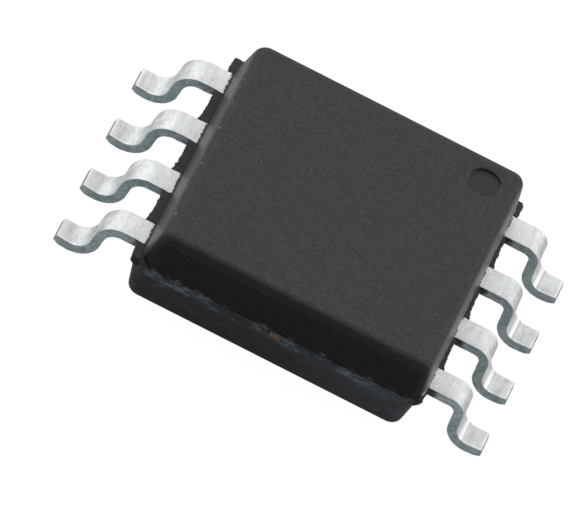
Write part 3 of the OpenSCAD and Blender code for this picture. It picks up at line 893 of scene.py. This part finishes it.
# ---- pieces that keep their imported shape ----

def coat_packed_pieces():
    """Finishes of the paddle, adhesive, die and bond wires."""
    finishes = {"die_paddle": COPPER, "die_attach": SILVER_EPOXY, "silicon_die": SILICON}
    for row in ROWS:
        for number in range(1, LEADS_PER_ROW + 1):
            finishes["bond_wire_%s_%d" % (row, number)] = GOLD
    for name, material in finishes.items():
        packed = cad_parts[name]
        packed.data.materials.clear()
        packed.data.materials.append(material)


# ---- stage, light and camera ----

FLOOR_HALF = 400


def make_stage():
    """A pale floor that looks white to the camera and keeps a faint shadow."""
    material = bpy.data.materials.new("pale_floor")
    material.use_nodes = True
    tree = material.node_tree
    tree.nodes.clear()
    matte = add_node(tree, "ShaderNodeBsdfDiffuse", {"Color": (0.65, 0.65, 0.65, 1.0)})
    glow = add_node(tree, "ShaderNodeEmission", {"Strength": 1.06})
    path = add_node(tree, "ShaderNodeLightPath")
    share = add_math(tree, "ADD", add_math(tree, "MULTIPLY", path.outputs["Is Camera Ray"], 0.93),
                     add_math(tree, "MULTIPLY", path.outputs["Is Glossy Ray"], 0.28))
    mixed = add_node(tree, "ShaderNodeMixShader", {
        0: share, 1: matte.outputs["BSDF"], 2: glow.outputs["Emission"]})
    result = add_node(tree, "ShaderNodeOutputMaterial")
    tree.links.new(mixed.outputs["Shader"], result.inputs["Surface"])
    size = FLOOR_HALF * MM
    mesh = bpy.data.meshes.new("floor")
    corners = [(-size, -size, 0), (size, -size, 0), (size, size, 0), (-size, size, 0)]
    mesh.from_pydata(corners, [], [(0, 1, 2, 3)])
    mesh.materials.append(material)
    new_object("floor", mesh)


def make_world():
    """White to the camera; on the chip a fill that is brightest behind it and weaker at its sides."""
    world = bpy.data.worlds.new("studio")
    bpy.context.scene.world = world
    world.use_nodes = True
    tree = world.node_tree
    tree.nodes.clear()
    way = add_node(tree, "ShaderNodeSeparateXYZ", {
        "Vector": add_node(tree, "ShaderNodeTexCoord").outputs["Generated"]})
    behind = add_ramp(tree, way.outputs["Y"], -0.3, 0.8, 0.06, 0.60)
    leftward = add_ramp(tree, way.outputs["X"], 0.3, -0.8, 0.0, 0.30)
    rightward = add_ramp(tree, way.outputs["X"], 0.1, 0.9, 0.0, 0.18)
    sideward = add_math(tree, "ADD", leftward, rightward)
    path = add_node(tree, "ShaderNodeLightPath")
    fill = add_node(tree, "ShaderNodeBackground", {
        "Color": (0.94, 0.97, 1.0, 1.0), "Strength": add_math(tree, "ADD", behind, sideward)})
    white = add_node(tree, "ShaderNodeBackground", {"Color": (1.0, 1.0, 1.0, 1.0), "Strength": 1.0})
    mixed = add_node(tree, "ShaderNodeMixShader", {
        0: path.outputs["Is Camera Ray"], 1: fill.outputs["Background"], 2: white.outputs["Background"]})
    result = add_node(tree, "ShaderNodeOutputWorld")
    tree.links.new(mixed.outputs["Shader"], result.inputs["Surface"])


def add_soft_box(name, azimuth, elevation, distance, width, height, power):
    """A square of light that faces the chip. Azimuth 0 is behind the chip, 90 to its right."""
    lamp = bpy.data.lights.new(name, "AREA")
    lamp.shape = "RECTANGLE"
    lamp.size = width * MM
    lamp.size_y = height * MM
    lamp.energy = power
    made = new_object(name, lamp)
    turn, rise = math.radians(azimuth), math.radians(elevation)
    place = Vector((math.sin(turn) * math.cos(rise), math.cos(turn) * math.cos(rise), math.sin(rise)))
    made.location = place * distance * MM
    made.rotation_euler = place.to_track_quat("Z", "Y").to_euler()


def make_lights():
    """Three soft boxes: one behind the chip and one to each side."""
    add_soft_box("back_box", 0, 50, 300, 420, 260, 0.29)
    add_soft_box("left_box", -72, 35, 300, 300, 240, 0.26)
    add_soft_box("right_box", 72, 35, 300, 300, 240, 0.25)


def make_camera():
    """A long lens from the near side, tipped over sideways so that the chip lies askew."""
    elevation = math.radians(49.32)
    roll = math.radians(26.9)
    distance = 248.5
    target = Vector((-0.37, -0.835, 1.00))
    forward = Vector((0.0, math.cos(elevation), -math.sin(elevation)))
    right = Vector((1.0, 0.0, 0.0))
    up = right.cross(forward)
    image_right = right * math.cos(roll) + up * math.sin(roll)
    image_up = up * math.cos(roll) - right * math.sin(roll)
    camera = bpy.data.cameras.new("camera")
    camera.lens = 910.0
    camera.sensor_width = 36.0
    camera.clip_start = 10 * MM
    camera.clip_end = 10.0
    made = new_object("camera", camera)
    turned = Matrix((image_right, image_up, -forward)).transposed()
    made.matrix_world = Matrix.Translation((target - forward * distance) * MM) @ turned.to_4x4()
    bpy.context.scene.camera = made


def main():
    make_camera()
    make_body()
    tree = build_lead_tree()
    for row in ROWS:
        for number in range(1, LEADS_PER_ROW + 1):
            make_lead(tree, row, number)
    coat_packed_pieces()
    make_stage()
    make_world()
    make_lights()
    bpy.context.scene.view_settings.view_transform = "Standard"


main()
